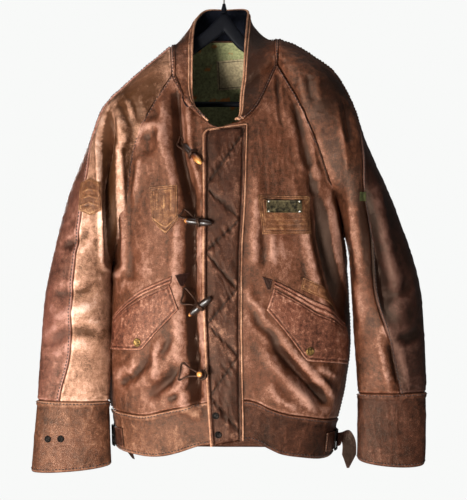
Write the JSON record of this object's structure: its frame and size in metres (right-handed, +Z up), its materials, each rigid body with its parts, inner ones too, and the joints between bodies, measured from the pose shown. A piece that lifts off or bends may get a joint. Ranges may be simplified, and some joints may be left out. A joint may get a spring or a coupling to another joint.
{
  "type": "leather jacket on a clothes hanger",
  "caption": "Worn brown leather jacket with raglan sleeves, quilted storm flap and horn toggles, hung on a dark clothes hanger with a steel hook",
  "frame": {"origin": "inside top of the hanger's hook, where a rail or peg carries it", "axes": "+Z up, the front of the jacket faces -Y, the wearer's left is +X"},
  "size_m": [0.6967, 0.2849, 0.9077],
  "materials": {
    "leather": "worn brown leather, lighter on folds and edges",
    "dark_leather": "worn dark brown leather",
    "red_leather": "coarse grained reddish brown leather",
    "navy_cloth": "dark navy cloth",
    "green_cloth": "mottled olive green woven lining",
    "cream_cloth": "cream woven label",
    "brass": "aged brass",
    "dark_metal": "darkened metal",
    "steel": "plated steel",
    "horn": "polished horn, dark with amber ends",
    "plastic": "black moulded plastic"
  },
  "bodies": {
    "root": {"front_right": "leather", "front_left": "leather", "back": "leather", "sleeve_right_front": "leather", "sleeve_right_back": "leather", "sleeve_left_front": "leather", "sleeve_left_back": "leather", "collar": "leather", "storm_flap": "leather", "waistband_front_right": "dark_leather", "waistband_front_left": "dark_leather", "waistband_back": "dark_leather", "cuff_right": "dark_leather", "cuff_left": "dark_leather", "pocket_welt_right": "red_leather", "pocket_flap_right": "red_leather", "pocket_tack_right": "dark_leather", "patch_shield": "red_leather", "pocket_welt_left": "red_leather", "pocket_flap_left": "red_leather", "pocket_tack_left": "dark_leather", "strip_patch_left": "red_leather", "patch_rectangle": "red_leather", "metal_plate": "dark_metal", "badge_sleeve_right": "red_leather", "tab_sleeve_left": "green_cloth", "collar_facing": "navy_cloth", "lining_back": "green_cloth", "label": "cream_cloth", "snap_pocket_right": "brass", "snap_pocket_left": "brass", "snap_storm_flap_1": "dark_metal", "snap_storm_flap_2": "dark_metal", "snap_cuff_right_1": "dark_metal", "snap_cuff_right_2": "dark_metal", "plate_rivet_1": "steel", "plate_rivet_2": "steel", "plate_rivet_3": "steel", "plate_rivet_4": "steel", "toggle_1": "horn", "toggle_thong_1": "dark_leather", "toggle_2": "horn", "toggle_thong_2": "dark_leather", "toggle_3": "horn", "toggle_thong_3": "dark_leather", "toggle_4": "horn", "toggle_thong_4": "dark_leather", "side_tab_right": "dark_leather", "side_tab_left": "dark_leather", "buckle_right": "dark_metal", "buckle_left": "dark_metal", "side_strap_left": "dark_leather", "side_strap_right": "dark_leather", "hanger_arms": "plastic", "hanger_bar": "plastic", "hanger_cone": "plastic", "hanger_hook": "steel"}
  },
  "joints": []
}
